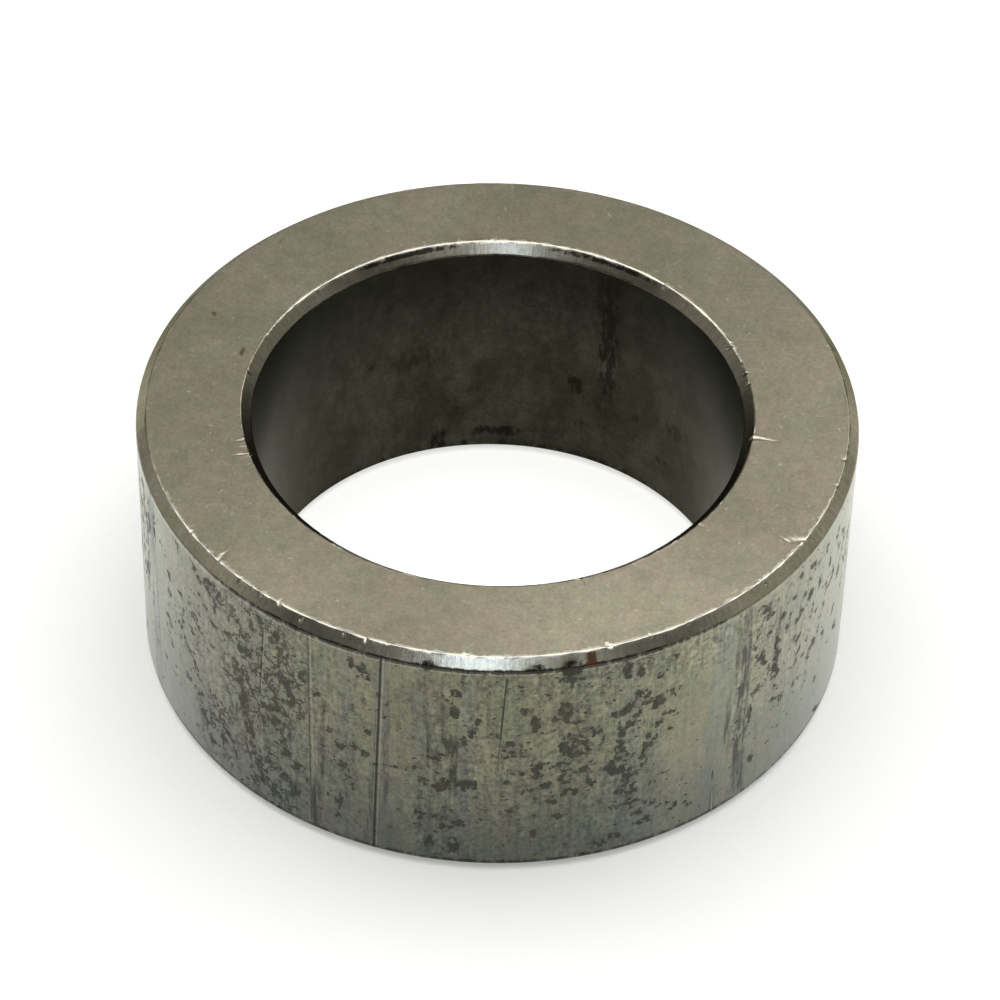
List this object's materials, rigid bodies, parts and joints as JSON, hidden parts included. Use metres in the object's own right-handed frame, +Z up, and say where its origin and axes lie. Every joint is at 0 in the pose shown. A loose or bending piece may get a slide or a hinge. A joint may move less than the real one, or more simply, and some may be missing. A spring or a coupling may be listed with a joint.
{
  "type": "spacer ring",
  "caption": "Thick-walled round steel spacer sleeve with a plain through bore, flat machined ends and small chamfers on all edges.",
  "frame": {"origin": "centre of the bore in the lower end face", "axes": "+Z up the bore axis; the ring stands on its lower end face, and X and Y are alike"},
  "size_m": [0.05, 0.05, 0.02],
  "materials": {
    "ring_steel": "turned ends and chamfers, dark as-rolled scale on the outer wall"
  },
  "bodies": {
    "root": {"spacer_ring": "ring_steel"}
  },
  "joints": []
}
